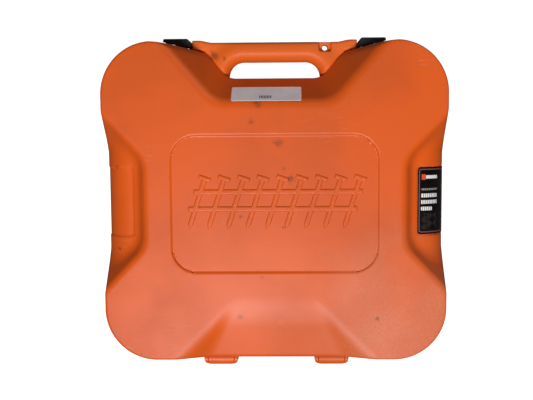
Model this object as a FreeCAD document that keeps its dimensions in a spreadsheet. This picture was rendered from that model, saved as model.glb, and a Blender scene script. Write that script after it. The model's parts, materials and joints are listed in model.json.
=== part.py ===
"""Blow-moulded carrying case for a framing nailer, lying on its back.

X runs to the right, Y towards the handle and Z up.  The case parts in a horizontal
plane: the base half lies on the floor below it, the lid half lies above it and turns
about a hinge on the side away from the handle.  Each half is built upwards from its
own parting plane, and the base half is then turned over about Y.
"""
import FreeCAD, Part
import os
import re
from math import atan2, cos, radians, sin, tan

import Sketcher
from FreeCAD import Placement, Rotation, Vector

# Driving dimensions, in millimetres and degrees.
SIZES = {
    # outline of one half at the parting plane
    "half_width": 225, "half_height": 209.5, "corner_radius": 70.5, "draft": 2.5,
    "shell_depth": 63.8, "wall": 3, "parting_gap": 0.4,
    "shoulder_x": 146, "shoulder_radius": 24, "shoulder_drop": 8.8,
    # scoop above the handle side of each half
    "top_scoop_y": 129.5, "top_scoop_half": 76, "top_scoop_angle": 49,
    "scoop_slope": 34, "top_scoop_depth": 48, "reach": 260, "scoop_growth": 1.2,
    # scoops in the left and right sides
    "side_scoop_x": 168, "side_scoop_half": 58, "side_scoop_angle": 46,
    "side_scoop_depth": 56, "side_floor_radius": 38.5,
    "side_floor_reach": 240, "side_floor_inner": 150, "side_floor_low": 1,
    # ramp on the hinge side
    "ramp_y": 143, "ramp_half": 60, "ramp_slope": 13, "ramp_fold": 0.45,
    "ramp_spread": 1.02, "ramp_side_rise": 0.405, "ramp_lead": 10, "ramp_run": 90,
    "ramp_headroom": 10,
    # recessed panel and label recesses
    "panel_half": 133.6, "panel_top": 86.8, "panel_bottom": 90.75,
    "panel_radius": 33, "panel_depth": 1.8,
    "label_x": 184.5, "label_half": 45.5, "label_recess": 1.3, "label_low": 4,
    "label_thick": 0.6, "label_gap": 1.5,
    # opening in the rim that the handle fills
    "zone_half": 110, "zone_floor": 161.5, "zone_floor_half": 56, "zone_step": 3.5,
    "zone_leg_x": 63.8, "zone_knee_x": 93, "zone_knee_y": 197.7, "zone_end_y": 201.4,
    # handle
    "handle_y": 209.3, "handle_end_y": 212.2, "handle_swell": 84, "handle_block": 98,
    "flange_rise": 13, "grip_rise": 18.2, "hole_half": 60, "hole_top": 183,
    "hole_radius": 15, "grip_end": 79, "grip_side_round": 8, "grip_top_round": 20,
    "handle_round": 12, "handle_tip_round": 2, "notch_round": 3,
    "lock_x": 67, "lock_y": 201.8, "lock_radius": 3.75, "lock_notch": 8,
    "lock_notch_low": 196.5, "lock_web": 8,
    # hinge
    "hinge_y": 221.5, "knuckle_radius": 9.1, "lug_centre": 76, "lug_width": 47,
    "cheek": 5.5, "cheek_gap": 0.5, "lug_arm": 7, "lug_root": 209.2, "lug_plate": 1.8,
    "hinge_pin_radius": 2.5, "running_gap": 0.05,
    # latches
    "latch_face": 213.8, "latch_inner": 110.4, "latch_outer": 147, "latch_gap": 0.4,
    "latch_wall": 3.2, "latch_top": 20, "latch_lip": 3, "latch_chamfer_x": 4.2,
    "latch_chamfer_y": 5.6, "latch_skirt": 3, "latch_round": 1.5, "latch_heel": 4,
    "pivot_y": 208, "pivot_drop": 27.5, "latch_pin_radius": 1.2, "barrel_radius": 2.5,
    "barrel_start": 118.4, "barrel_end": 130.6, "web_low": 1, "web_high": 4,
    "web_rise": 2, "web_bite": 0.4, "ear": 3.4, "ear_gap": 0.5, "ear_radius": 2.2,
    "ear_round": 1.98, "ear_bite": 2.8, "plate_out": 1.6, "plate_in": 4, "plate_rise": 2,
    "keeper_face": 208.3, "keeper_low": 9,
    "keeper_high": 16.4, "keeper_gap": 0.5, "keeper_root": 1.6, "keeper_round": 1,
    "drill_over": 1,
    # liners
    "liner": 2.5, "lid_dish_half": 160, "lid_dish_top": 116, "lid_dish_bottom": 148,
    "lid_dish_depth": 36, "lid_dish_radius": 42, "dish_draft": 8, "pocket_draft": 4,
    # sticker on the top scoop
    "sticker_width": 90, "sticker_height": 33, "sticker_thick": 0.4,
    "sticker_x": -10, "sticker_down": 1.5,
}

# Moulded pockets of the base liner: centre, length, width, turn, corner radius, depth.
POCKETS = (
    ("body", -98, 2, 102, 228, 0, 20, 50),
    ("nose", -98, -128, 58, 66, 0, 9, 44),
    ("magazine", 18, -118, 236, 44, 14, 10, 38),
    ("grip", 4, 62, 168, 50, -14, 20, 42),
    ("battery", 133, 84, 70, 90, 0, 8, 46),
    ("cell_upper", 110, 4, 132, 42, 0, 9, 38),
    ("cell_lower", 110, -46, 132, 42, 0, 9, 38),
)
SIDES = (("left", -1), ("right", 1))

doc = FreeCAD.newDocument("NailerCase")
sheet = doc.addObject("Spreadsheet::Sheet", "Sizes")
for row, (alias, value) in enumerate(SIZES.items(), start=1):
    sheet.set(f"A{row}", alias)
    sheet.set(f"B{row}", str(value))
    sheet.setAlias(f"B{row}", alias)
doc.recompute()


def cell(expression):
    """Name the sheet in front of each of its cells that an expression uses."""
    def with_sheet(word):
        return "Sizes." + word[0] if word[0] in SIZES else word[0]
    return re.sub("[a-z_]+", with_sheet, expression)


def value_of(expression):
    """The present value of an expression over the sheet."""
    return float(sheet.evalExpression(cell(str(expression))))


def bind(target, prop, expression):
    """Drive one property of an object by an expression over the sheet."""
    target.setExpression(prop, cell(str(expression)))


def new_body(label, turned=False):
    """A PartDesign body in the case frame; a turned one hangs below the parting plane."""
    body = doc.addObject("PartDesign::Body", label)
    body.Label = label
    place(body, turned)
    return body


def place(target, turned=False):
    """Put a piece of the lid half, or a turned piece of the base half, in the case."""
    if turned:
        target.Placement = Placement(Vector(), Rotation(Vector(0, 1, 0), 180))
    half = "shell_depth + 0.5 * parting_gap"
    side = "- 0.5" if turned else "+ 0.5"
    bind(target, "Placement.Base.z", f"{half} {side} * parting_gap")
    bind(target, "Placement.Base.y", "0.5 * (hinge_y + knuckle_radius - latch_face)")


def plane(body, role):
    """One of the three origin planes of a body."""
    return next(part for part in body.Origin.OriginFeatures if part.Role == role)


def new_sketch(body, name, role, lift=0, shift=(0, 0), turn=0):
    """An empty sketch on an origin plane, moved along and across its normal."""
    sketch = body.newObject("Sketcher::SketchObject", name)
    sketch.AttachmentSupport = [(plane(body, role), "")]
    sketch.MapMode = "FlatFace"
    spot = Vector(value_of(shift[0]), value_of(shift[1]), 0)
    sketch.AttachmentOffset = Placement(spot, Rotation(Vector(0, 0, 1), turn))
    bind(sketch, "AttachmentOffset.Base.z", lift)
    return sketch


def bind_constraint(sketch, number, name, expression):
    """Name a dimension of a sketch and drive it from the sheet."""
    sketch.renameConstraint(number, name)
    bind(sketch, f"Constraints.{name}", expression)


def outline(sketch, corners):
    """Close a polygon through corners (x, y, radius); a radius rounds its corner.

    Every corner is a vertex of a construction polygon whose two coordinates are
    driven by the sheet.  The real lines lie on that polygon and the arcs are tangent
    to them.
    """
    spots = [Vector(value_of(x), value_of(y), 0) for x, y, _ in corners]
    count = len(spots)
    first = sketch.GeometryCount
    for number, spot in enumerate(spots):
        line = Part.LineSegment(spot, spots[(number + 1) % count])
        sketch.addGeometry(line, True)
    for number, (x, y, _) in enumerate(corners):
        last = first + (number - 1) % count
        sketch.addConstraint(Sketcher.Constraint("Coincident", last, 2, first + number, 1))
        for kind, expression in (("DistanceX", x), ("DistanceY", y)):
            amount = value_of(expression)
            made = sketch.addConstraint(
                Sketcher.Constraint(kind, -1, 1, first + number, 1, amount))
            bind_constraint(sketch, made, f"{kind[-1]}{first + number}", expression)

    starts, ends, arcs = [], [], []
    for number, (_, _, radius) in enumerate(corners):
        spot = spots[number]
        if radius is None:
            starts.append(spot)
            ends.append(spot)
            arcs.append(None)
            continue
        back = (spots[number - 1] - spot).normalize()
        ahead = (spots[(number + 1) % count] - spot).normalize()
        half_angle = back.getAngle(ahead) / 2
        size = value_of(radius)
        ends.append(spot + back * (size / tan(half_angle)))
        starts.append(spot + ahead * (size / tan(half_angle)))
        centre = spot + (back + ahead).normalize() * (size / sin(half_angle))
        arcs.append((centre, size, back.cross(ahead).z < 0))
    lines = []
    for number in range(count):
        line = Part.LineSegment(starts[number], ends[(number + 1) % count])
        lines.append(sketch.addGeometry(line, False))
        guide = first + number
        for end in (1, 2):
            if arcs[(number + end - 1) % count] is None:
                sketch.addConstraint(
                    Sketcher.Constraint("Coincident", lines[-1], end, guide, end))
            else:
                sketch.addConstraint(
                    Sketcher.Constraint("PointOnObject", lines[-1], end, guide))
    for number, bend in enumerate(arcs):
        if bend is None:
            continue
        centre, size, leftwards = bend
        begin, end = ends[number], starts[number]
        if not leftwards:
            begin, end = end, begin
        angles = [atan2(spot.y - centre.y, spot.x - centre.x) for spot in (begin, end)]
        ring = Part.Circle(centre, Vector(0, 0, 1), size)
        made = sketch.addGeometry(Part.ArcOfCircle(ring, *angles), False)
        near, far = (1, 2) if leftwards else (2, 1)
        before = lines[(number - 1) % count]
        sketch.addConstraint(Sketcher.Constraint("Tangent", before, 2, made, near))
        sketch.addConstraint(Sketcher.Constraint("Tangent", lines[number], 1, made, far))
        limit = sketch.addConstraint(
            Sketcher.Constraint("Radius", made, value_of(corners[number][2])))
        bind_constraint(sketch, limit, f"Round{first + number}", corners[number][2])


def circle(sketch, x, y, radius):
    """A full circle driven from the sheet."""
    spot = Vector(value_of(x), value_of(y), 0)
    made = sketch.addGeometry(Part.Circle(spot, Vector(0, 0, 1), value_of(radius)), False)
    for kind, expression in (("DistanceX", x), ("DistanceY", y)):
        limit = sketch.addConstraint(
            Sketcher.Constraint(kind, -1, 1, made, 3, value_of(expression)))
        bind_constraint(sketch, limit, f"{kind[-1]}{made}", expression)
    limit = sketch.addConstraint(Sketcher.Constraint("Radius", made, value_of(radius)))
    bind_constraint(sketch, limit, f"Radius{made}", radius)


def pad(body, sketch, length, taper="0", both_ways=False):
    """Add material along the normal of a sketch."""
    feature = body.newObject("PartDesign::Pad", "Pad")
    feature.Profile = sketch
    feature.SideType = "Symmetric" if both_ways else "One side"
    bind(feature, "Length", length)
    bind(feature, "TaperAngle", taper)
    doc.recompute()
    return feature


def pocket(body, sketch, length, taper="0", both_ways=False, upwards=False):
    """Remove material against the normal of a sketch, and check that it was removed."""
    before = body.Shape.Volume
    feature = body.newObject("PartDesign::Pocket", "Pocket")
    feature.Profile = sketch
    feature.SideType = "Symmetric" if both_ways else "One side"
    feature.Reversed = upwards
    bind(feature, "Length", length)
    bind(feature, "TaperAngle", taper)
    doc.recompute()
    if body.Shape.Volume > before - 1:
        raise RuntimeError(f"{body.Label}: {feature.Name} removes nothing")
    return feature


def mirrored(corners, side):
    """Corners for the left (-1) or right (+1) side."""
    return [(x if side > 0 else f"-({x})", y, radius) for x, y, radius in corners]


def flipped(corners):
    """The same corners on the other side, in the opposite order."""
    return [(f"-({x})", y, radius) for x, y, radius in reversed(corners)]


def case_outline(inset):
    """The plan of one half: round lobes, with the rim sloping down to the handle."""
    width = f"half_width - {inset}"
    height = f"half_height - {inset}"
    radius = f"corner_radius - {inset}"
    low = f"{height} - shoulder_drop"
    right = [(width, height, radius), ("shoulder_x", height, "shoulder_radius"),
             ("zone_half", low, None)]
    return ([(f"-({width})", f"-({height})", radius), (width, f"-({height})", radius)]
            + right + flipped(right))


def zone_outline(inset):
    """The plan of the opening that the handle fills, grown by the wall for a lining."""
    half = [("zone_floor_half", f"zone_floor - {inset}", None),
            (f"hole_half + {inset}", f"zone_floor + zone_step - {inset}", None),
            (f"zone_leg_x + {inset}", f"zone_floor + zone_step - {inset}", None),
            (f"zone_knee_x + {inset}", f"zone_knee_y - {inset}", None),
            (f"zone_half + {inset}", f"zone_end_y - {inset}", None),
            (f"zone_half + {inset}", "reach", None)]
    return half + flipped(half)


def half_block(body, inset, height):
    """The drafted block of one half, with the handle's opening cut through its rim."""
    base = new_sketch(body, "Outline", "XY_Plane")
    outline(base, case_outline(inset))
    pad(body, base, height, "- draft")
    zone = new_sketch(body, "HandleZone", "XY_Plane", height)
    outline(zone, zone_outline(inset))
    pocket(body, zone, height)


def half_form(label, turned, inset="0", labelled=False):
    """The solid form of one half with its scoops; an inset gives the form inside it."""
    body = new_body(label, turned)
    lining = inset != "0"
    lowered = f"({inset} + panel_depth)" if lining else "0"
    top = f"shell_depth - {lowered}" if lining else "shell_depth"
    grown = f"scoop_growth * {inset}"
    half_block(body, inset, top)

    above = new_sketch(body, "TopScoop", "XY_Plane", "shell_depth")
    edge_y = f"(top_scoop_y - {grown})"
    edge_x = f"(top_scoop_half + {grown} * tan(top_scoop_angle / 2))"
    far_x = f"{edge_x} + (reach - {edge_y}) / tan(top_scoop_angle)"
    outline(above, [(f"-({edge_x})", edge_y, None), (edge_x, edge_y, None),
                    (far_x, "reach", None), (f"-({far_x})", "reach", None)])
    pocket(body, above, f"top_scoop_depth + {inset}", "- scoop_slope")

    for _, side in SIDES:
        beside = new_sketch(body, "SideScoop", "XY_Plane", "shell_depth")
        inner = f"(side_scoop_x - {grown})"
        edge = f"(side_scoop_half + {grown} * tan(45 - side_scoop_angle / 2))"
        out = f"{edge} + (reach - {inner}) * tan(side_scoop_angle)"
        corners = [(inner, edge, None), (inner, f"-{edge}", None),
                   ("reach", f"-({out})", None), ("reach", out, None)]
        outline(beside, mirrored(corners, side))
        pocket(body, beside, f"side_scoop_depth + {inset}", "- scoop_slope")

    for _, side in SIDES:
        side_floor(body, side, inset)
    hinge_ramp(body, lowered)
    if lining:
        return body

    panel = new_sketch(body, "Panel", "XY_Plane", "shell_depth")
    outline(panel, [("- panel_half", "- panel_bottom", "panel_radius"),
                    ("panel_half", "- panel_bottom", "panel_radius"),
                    ("panel_half", "panel_top", "panel_radius"),
                    ("- panel_half", "panel_top", "panel_radius")])
    pocket(body, panel, "panel_depth")
    if labelled:
        for _, side in SIDES:
            recess = new_sketch(body, "LabelRecess", "XZ_Plane")
            out, top = floor_lines("label_recess")
            corners = [("label_x", top, None),
                       (out, top, "side_floor_radius - label_recess"),
                       (out, "label_low", None), ("reach", "label_low", None),
                       ("reach", "shell_depth + wall", None),
                       ("label_x", "shell_depth + wall", None)]
            outline(recess, mirrored(corners, side))
            pocket(body, recess, "2 * label_half", both_ways=True)
    return body


def floor_lines(inset="0"):
    """Where the round floor of a side scoop ends: its outermost X and its top."""
    low = "(shell_depth - side_scoop_depth)"
    return f"half_width - {low} * tan(draft) - {inset}", f"{low} + side_floor_radius - {inset}"


def side_floor(body, side, inset):
    """Fill a side scoop up to its round floor, which ends upright in the side wall."""
    floor = new_sketch(body, "SideFloor", "XZ_Plane")
    out, top = floor_lines(inset)
    corners = [("side_floor_inner", "side_floor_low", None), (out, "side_floor_low", None),
               (out, top, f"side_floor_radius - {inset}"), ("side_floor_inner", top, None)]
    outline(floor, mirrored(corners, side))
    pad(body, floor, "side_floor_reach", both_ways=True)


def ramp_section(run, lowered):
    """Section of the space above the hinge-side ramp, a run beyond the ramp's edge."""
    low = f"shell_depth - {lowered} - ({run}) * tan(ramp_slope)"
    high = "shell_depth + ramp_headroom"
    inner = f"ramp_half + ramp_fold * ({run})"
    rise = f"(ramp_headroom + {lowered}) / ramp_side_rise"
    outer = f"ramp_half + ramp_spread * ({run}) + {rise}"
    return [(f"-({inner})", low, None), (inner, low, None), (outer, high, None),
            (f"-({outer})", high, None)]


def hinge_ramp(body, lowered):
    """Cut the shallow ramp that runs down to the hinge side."""
    sections = []
    for name, run in (("RampStart", "- ramp_lead"), ("RampEnd", "ramp_run")):
        section = new_sketch(body, name, "XZ_Plane", f"ramp_y + ({run})")
        outline(section, ramp_section(run, lowered))
        sections.append(section)
    before = body.Shape.Volume
    loft = body.newObject("PartDesign::SubtractiveLoft", "Ramp")
    loft.Profile = sections[0]
    loft.Sections = sections[1:]
    loft.Ruled = True
    doc.recompute()
    if body.Shape.Volume > before - 1:
        raise RuntimeError(f"{body.Label}: the ramp removes nothing")


def outer_shell(label, turned, labelled):
    """The outer wall of one half: its form, less the form one wall further in."""
    shell = doc.addObject("Part::Cut", label)
    shell.Label = label
    shell.Base = half_form(f"{label}_form", turned, labelled=labelled)
    shell.Tool = half_form(f"{label}_space", turned, inset="wall")
    doc.recompute()
    return shell


def dish(body, name, plan, centre, turn, length, wall_draft, inset):
    """A drafted block below the rim of a liner; an inset makes the hollow inside it."""
    half_x, half_y, radius = plan
    sketch = new_sketch(body, name, "XY_Plane", shift=centre, turn=turn)
    x = f"({half_x} - {inset})"
    y = f"({half_y} - {inset})"
    rounding = f"{radius} - {inset}"
    outline(sketch, [(f"-{x}", f"-{y}", rounding), (x, f"-{y}", rounding),
                     (x, y, rounding), (f"-{x}", y, rounding)])
    if inset == "0":
        return pad(body, sketch, length, f"- {wall_draft}")
    return pocket(body, sketch, f"{length} - {inset}", f"- {wall_draft}", upwards=True)


def rim_plate(label, turned):
    """The flat rim of a liner, which fills its shell at the parting plane."""
    body = new_body(label, turned)
    half_block(body, "wall", "liner")
    return body


def lid_liner():
    """The inner wall of the lid: one shallow dish."""
    body = rim_plate("lid_inner_liner", False)
    plan = ("lid_dish_half", "(lid_dish_top + lid_dish_bottom) / 2", "lid_dish_radius")
    centre = ("0", "(lid_dish_top - lid_dish_bottom) / 2")
    for inset in ("0", "liner"):
        dish(body, "Dish", plan, centre, 0, "lid_dish_depth", "dish_draft", inset)
    return body


def base_liner():
    """The inner wall of the base: pockets for the tool and what goes with it."""
    body = rim_plate("base_inner_liner", True)
    for inset in ("0", "liner"):
        for name, x, y, width, height, turn, radius, depth in POCKETS:
            plan = (f"({width / 2} + liner)", f"({height / 2} + liner)",
                    f"({radius} + liner)")
            dish(body, name, plan, (str(-x), str(y)), -turn, f"({depth} + liner)",
                 "pocket_draft", inset)
    return body


def handle_half(label, turned):
    """Half of the handle: a flat flange, the round grip on it and the padlock eye."""
    body = new_body(label, turned)
    flange = new_sketch(body, "Flange", "XY_Plane")
    half = [("hole_half", "zone_floor + zone_step", None),
            ("zone_leg_x", "zone_floor + zone_step", None),
            ("zone_knee_x", "zone_knee_y", None),
            ("zone_half - latch_gap", "zone_end_y", None),
            ("zone_half - latch_gap", "handle_end_y", "handle_tip_round"),
            ("handle_block", "handle_end_y", "handle_round"),
            ("handle_swell", "handle_y", "handle_round")]
    inner = [("-hole_half", "hole_top", "hole_radius"),
             ("hole_half", "hole_top", "hole_radius")]
    outline(flange, half + flipped(half) + inner)
    pad(body, flange, "flange_rise")

    grip = new_sketch(body, "Grip", "XY_Plane")
    half = [("hole_half", "zone_floor + zone_step", None),
            ("zone_leg_x", "zone_floor + zone_step", None),
            ("grip_end", "hole_top", "grip_side_round"),
            ("grip_end", "handle_y", "grip_top_round")]
    outline(grip, half + flipped(half) + inner)
    pad(body, grip, "grip_rise")

    notch = new_sketch(body, "LockNotch", "XY_Plane", "lock_web")
    mirror = -1 if turned else 1
    corners = [("lock_x - lock_notch", "lock_notch_low", "notch_round"),
               ("lock_x + lock_notch", "lock_notch_low", "notch_round"),
               ("lock_x + lock_notch", "reach", None),
               ("lock_x - lock_notch", "reach", None)]
    outline(notch, mirrored(corners, mirror))
    pocket(body, notch, "grip_rise", upwards=True)
    eye = new_sketch(body, "LockEye", "XY_Plane")
    circle(eye, "lock_x" if mirror > 0 else "-lock_x", "lock_y", "lock_radius")
    pocket(body, eye, "grip_rise", upwards=True)
    return body


def side_label():
    """The printed label in the right-hand recess, wrapped round the side."""
    body = new_body("side_label")
    band = new_sketch(body, "Band", "XZ_Plane", "label_gap - label_half")
    out, top = floor_lines("label_recess")
    radius = "side_floor_radius - label_recess"
    outer = f"{out} + label_thick"
    outline(band, [("label_x + label_gap", top, None), (out, top, radius),
                   (out, "label_low + label_gap", None),
                   (outer, "label_low + label_gap", None),
                   (outer, f"{top} + label_thick", f"{radius} + label_thick"),
                   ("label_x + label_gap", f"{top} + label_thick", None)])
    pad(body, band, "2 * (label_half - label_gap)")
    return body


def top_label():
    """The sticker on the middle face of the lid's top scoop."""
    label = doc.addObject("Part::Box", "top_label")
    label.Label = "top_label"
    bind(label, "Length", "sticker_width")
    bind(label, "Width", "sticker_thick")
    bind(label, "Height", "sticker_height")
    slope = value_of("scoop_slope")
    tilt = Rotation(Vector(1, 0, 0), slope)
    down = value_of("sticker_down") + value_of("sticker_height")
    drop = Vector(0, sin(radians(slope)), -cos(radians(slope))) * down
    edge = Vector(value_of("sticker_x - sticker_width / 2"), value_of("top_scoop_y"),
                  value_of("shell_depth"))
    lift = Vector(0, value_of("0.5 * (hinge_y + knuckle_radius - latch_face)"),
                  value_of("shell_depth + parting_gap"))
    label.Placement = Placement(edge + drop + lift, tilt)
    return label


def hinge_lug(label, side, turned):
    """One leaf of a hinge: two cheeks on the base, or the knuckle between them."""
    body = new_body(label, turned)
    centre = "lug_centre" if side > 0 else "-lug_centre"
    half = "lug_width / 2"
    spans = [(f"-({half})", f"cheek - ({half})"), (f"{half} - cheek", half)]
    if not turned:
        edge = f"{half} - cheek - cheek_gap"
        spans = [(f"-({edge})", edge)]
    lower = "0.5 * parting_gap"
    for start, end in spans:
        for plan, rise in (("arm", "lug_arm"), ("knuckle", None)):
            profile = new_sketch(body, "Profile", "YZ_Plane", f"{centre} + {start}")
            if rise:
                outline(profile, [("-hinge_y", "0", None), ("-lug_root", "0", None),
                                  ("-lug_root", rise, None), ("-hinge_y", rise, None)])
            else:
                circle(profile, "-hinge_y", f"-{lower}", "knuckle_radius")
            pad(body, profile, f"({end}) - ({start})")
    if turned:
        root = new_sketch(body, "Root", "YZ_Plane", f"{centre} - {half}")
        outline(root, [("-lug_root", "0", None), ("lug_plate - lug_root", "0", None),
                       ("lug_plate - lug_root", "lug_arm", None),
                       ("-lug_root", "lug_arm", None)])
        pad(body, root, "lug_width")
    bore = "hinge_pin_radius" if turned else "hinge_pin_radius + running_gap"
    hole = new_sketch(body, "PinHole", "YZ_Plane", f"{centre} + {half}")
    circle(hole, "-hinge_y", f"-{lower}", bore)
    pocket(body, hole, "lug_width")
    return body


def pin(label, x, y, z, radius, length):
    """A plain steel pin along X."""
    rod = doc.addObject("Part::Cylinder", label)
    rod.Label = label
    bind(rod, "Radius", radius)
    bind(rod, "Height", length)
    rod.Placement = Placement(Vector(), Rotation(Vector(0, 1, 0), 90))
    bind(rod, "Placement.Base.x", x)
    bind(rod, "Placement.Base.y", f"0.5 * (hinge_y + knuckle_radius - latch_face) + {y}")
    bind(rod, "Placement.Base.z", f"shell_depth + 0.5 * parting_gap + {z}")
    return rod


def rim_y(x, gap="0"):
    """The Y of the sloping rim behind a latch, at one X."""
    slope = "shoulder_drop / (shoulder_x - zone_half)"
    return f"half_height - (shoulder_x - ({x})) * {slope} + {gap}"


def latch(label, side):
    """A wedge-shaped snap-over latch, built in the lid half's frame."""
    body = new_body(label)
    inner = "latch_inner"
    outer = "latch_outer"
    heel = "shoulder_x - latch_heel"
    low = "latch_skirt - pivot_drop"
    face = "latch_face"
    back = "latch_face - latch_wall"
    corner = [(outer, face, "latch_round"),
              ("latch_inner + latch_chamfer_x", face, "latch_round"),
              (inner, "latch_face - latch_chamfer_y", "latch_round"),
              (inner, rim_y(inner, "latch_gap"), None),
              (heel, rim_y(heel, "latch_gap"), None),
              (outer, "half_height + latch_gap", None)]
    block = new_sketch(body, "Block", "XY_Plane", low)
    outline(block, mirrored(corner, side))
    pad(body, block, f"latch_top - ({low})")

    room = new_sketch(body, "Room", "XY_Plane", "latch_top - latch_lip")
    hollow = [(f"{inner} + latch_wall", back, None),
              (f"{outer} + latch_wall", back, None),
              (f"{outer} + latch_wall", "zone_end_y - latch_wall", None),
              (f"{inner} + latch_wall", "zone_end_y - latch_wall", None)]
    outline(room, mirrored(hollow, side))
    pocket(body, room, "2 * pivot_drop")

    notch = new_sketch(body, "Notch", "XY_Plane", "latch_top")
    window = [("barrel_start", "zone_end_y - latch_wall", None),
              ("barrel_end + keeper_gap", "zone_end_y - latch_wall", None),
              ("barrel_end + keeper_gap", "keeper_face + keeper_gap", None),
              ("barrel_start", "keeper_face + keeper_gap", None)]
    outline(notch, mirrored(window, side))
    pocket(body, notch, "2 * latch_lip")

    start = "barrel_start" if side > 0 else "-barrel_end"
    for name in ("Web", "Barrel"):
        profile = new_sketch(body, name, "YZ_Plane", start)
        if name == "Web":
            outline(profile, [("pivot_y", "-pivot_drop - web_low", None),
                              (f"{back} + web_bite", "-pivot_drop - web_low", None),
                              (f"{back} + web_bite", "web_high + web_rise - pivot_drop", None),
                              ("pivot_y", "web_high - pivot_drop", None)])
        else:
            circle(profile, "pivot_y", "-pivot_drop", "barrel_radius")
        pad(body, profile, "barrel_end - barrel_start")
    hole = new_sketch(body, "PinHole", "YZ_Plane",
                      "barrel_end + drill_over" if side > 0 else "drill_over - barrel_start")
    circle(hole, "pivot_y", "-pivot_drop", "latch_pin_radius + running_gap")
    pocket(body, hole, "barrel_end - barrel_start + 2 * drill_over")
    return body


def latch_bracket(label, side):
    """Two ears on the wall of the base, which hold the pin of one latch."""
    body = new_body(label)
    spans = [("barrel_start - ear - ear_gap", "barrel_start - ear_gap"),
             ("barrel_end + ear_gap", "barrel_end + ear_gap + ear")]
    left, right = spans[0][0], spans[1][1]
    plate = new_sketch(body, "Plate", "XY_Plane", "-pivot_drop - ear_radius - plate_rise")
    outline(plate, mirrored([(left, rim_y(left, "-plate_in"), None),
                             (right, rim_y(right, "-plate_in"), None),
                             (right, rim_y(right, "-plate_out"), None),
                             (left, rim_y(left, "-plate_out"), None)], side))
    pad(body, plate, "2 * (ear_radius + plate_rise)")
    low, high = "-pivot_drop - ear_radius", "-pivot_drop + ear_radius"
    for start, end in spans:
        arm = new_sketch(body, "Ear", "YZ_Plane", start if side > 0 else f"-({end})")
        outline(arm, [("pivot_y + ear_radius", low, "ear_round"),
                      ("pivot_y + ear_radius", high, "ear_round"),
                      (rim_y(start, "-ear_bite"), high, None),
                      (rim_y(start, "-ear_bite"), low, None)])
        pad(body, arm, "ear")
    hole = new_sketch(body, "PinHole", "YZ_Plane",
                      f"{right} + drill_over" if side > 0 else f"drill_over - ({left})")
    circle(hole, "pivot_y", "-pivot_drop", "latch_pin_radius")
    pocket(body, hole, f"({right}) - ({left}) + 2 * drill_over")
    return body


def keeper(label, side):
    """The strike on the lid's wall that a latch closes over."""
    body = new_body(label)
    plan = new_sketch(body, "Plan", "XY_Plane", "keeper_low")
    start, end = "barrel_start + keeper_gap", "barrel_end"
    outline(plan, mirrored([(start, rim_y(start, "-keeper_root"), None),
                            (end, rim_y(end, "-keeper_root"), None),
                            (end, "keeper_face", "keeper_round"),
                            (start, "keeper_face", "keeper_round")], side))
    pad(body, plan, "keeper_high - keeper_low")
    return body


def build():
    """Build every piece of the case."""
    pieces = [outer_shell("lid_outer_shell", False, True), lid_liner(),
              handle_half("lid_handle_half", False),
              outer_shell("base_outer_shell", True, False), base_liner(),
              handle_half("base_handle_half", True), side_label(), top_label()]
    for name, side in SIDES:
        pieces += [hinge_lug(f"lid_hinge_lug_{name}", side, False),
                   hinge_lug(f"base_hinge_lug_{name}", -side, True),
                   latch(f"latch_{name}", side),
                   latch_bracket(f"latch_bracket_{name}", side),
                   keeper(f"keeper_{name}", side)]
        hinge_start = "lug_centre - lug_width / 2" if side > 0 else "-lug_centre - lug_width / 2"
        pieces.append(pin(f"hinge_pin_{name}", hinge_start, "-hinge_y", "0",
                          "hinge_pin_radius", "lug_width"))
        near, far = "barrel_start - ear - ear_gap", "barrel_end + ear + ear_gap"
        pieces.append(pin(f"latch_pin_{name}", near if side > 0 else f"-({far})", "pivot_y",
                          "0.5 * parting_gap - pivot_drop", "latch_pin_radius",
                          f"({far}) - ({near})"))
    return pieces


def export(pieces):
    """Check every object of the document and write each piece to its own file."""
    doc.recompute()
    failed = [thing.Label for thing in doc.Objects
              if "Invalid" in thing.State or "Error" in thing.State]
    if failed:
        raise RuntimeError(f"objects that failed: {failed}")
    os.makedirs("parts", exist_ok=True)
    for piece in pieces:
        shape = piece.Shape
        if shape.isNull() or not shape.isValid() or len(shape.Solids) < 1:
            raise RuntimeError(f"{piece.Label} has no valid solid")
        shape.exportStep(f"parts/{piece.Label}.step")
        box = shape.optimalBoundingBox()
        print(f"{piece.Label}: {len(shape.Solids)} solid, {shape.Volume:.0f} mm3, "
              f"X {box.XMin:.1f}..{box.XMax:.1f} Y {box.YMin:.1f}..{box.YMax:.1f} "
              f"Z {box.ZMin:.1f}..{box.ZMax:.1f}")


export(build())
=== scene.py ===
"""The looks of a blow-moulded nailer case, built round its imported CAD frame.

Moulded walls are described as signed distance fields, in millimetres, and meshed by a
surface net.  A half of the case has its own upright frame: x and y as in the case but
measured from the middle of the shell, and z outwards from the parting plane.
"""

import json
import math

import bpy
import numpy as np
from mathutils import Matrix, Vector


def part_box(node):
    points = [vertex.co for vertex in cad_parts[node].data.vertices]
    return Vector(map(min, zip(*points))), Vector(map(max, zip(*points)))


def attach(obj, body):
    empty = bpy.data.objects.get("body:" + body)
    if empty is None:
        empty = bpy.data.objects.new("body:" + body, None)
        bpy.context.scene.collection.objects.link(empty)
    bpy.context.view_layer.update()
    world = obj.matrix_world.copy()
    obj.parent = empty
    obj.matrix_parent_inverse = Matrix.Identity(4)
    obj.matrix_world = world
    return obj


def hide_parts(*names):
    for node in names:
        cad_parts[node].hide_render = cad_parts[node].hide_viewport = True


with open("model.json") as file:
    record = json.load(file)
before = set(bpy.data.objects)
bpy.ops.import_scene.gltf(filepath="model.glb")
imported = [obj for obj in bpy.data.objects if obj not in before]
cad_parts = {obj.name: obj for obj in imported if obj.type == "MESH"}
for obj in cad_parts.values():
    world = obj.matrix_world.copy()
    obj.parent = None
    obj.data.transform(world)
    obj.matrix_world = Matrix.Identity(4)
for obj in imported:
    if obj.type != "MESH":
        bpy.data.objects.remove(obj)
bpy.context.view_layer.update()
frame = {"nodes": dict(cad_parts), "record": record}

MM = 0.001
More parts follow.
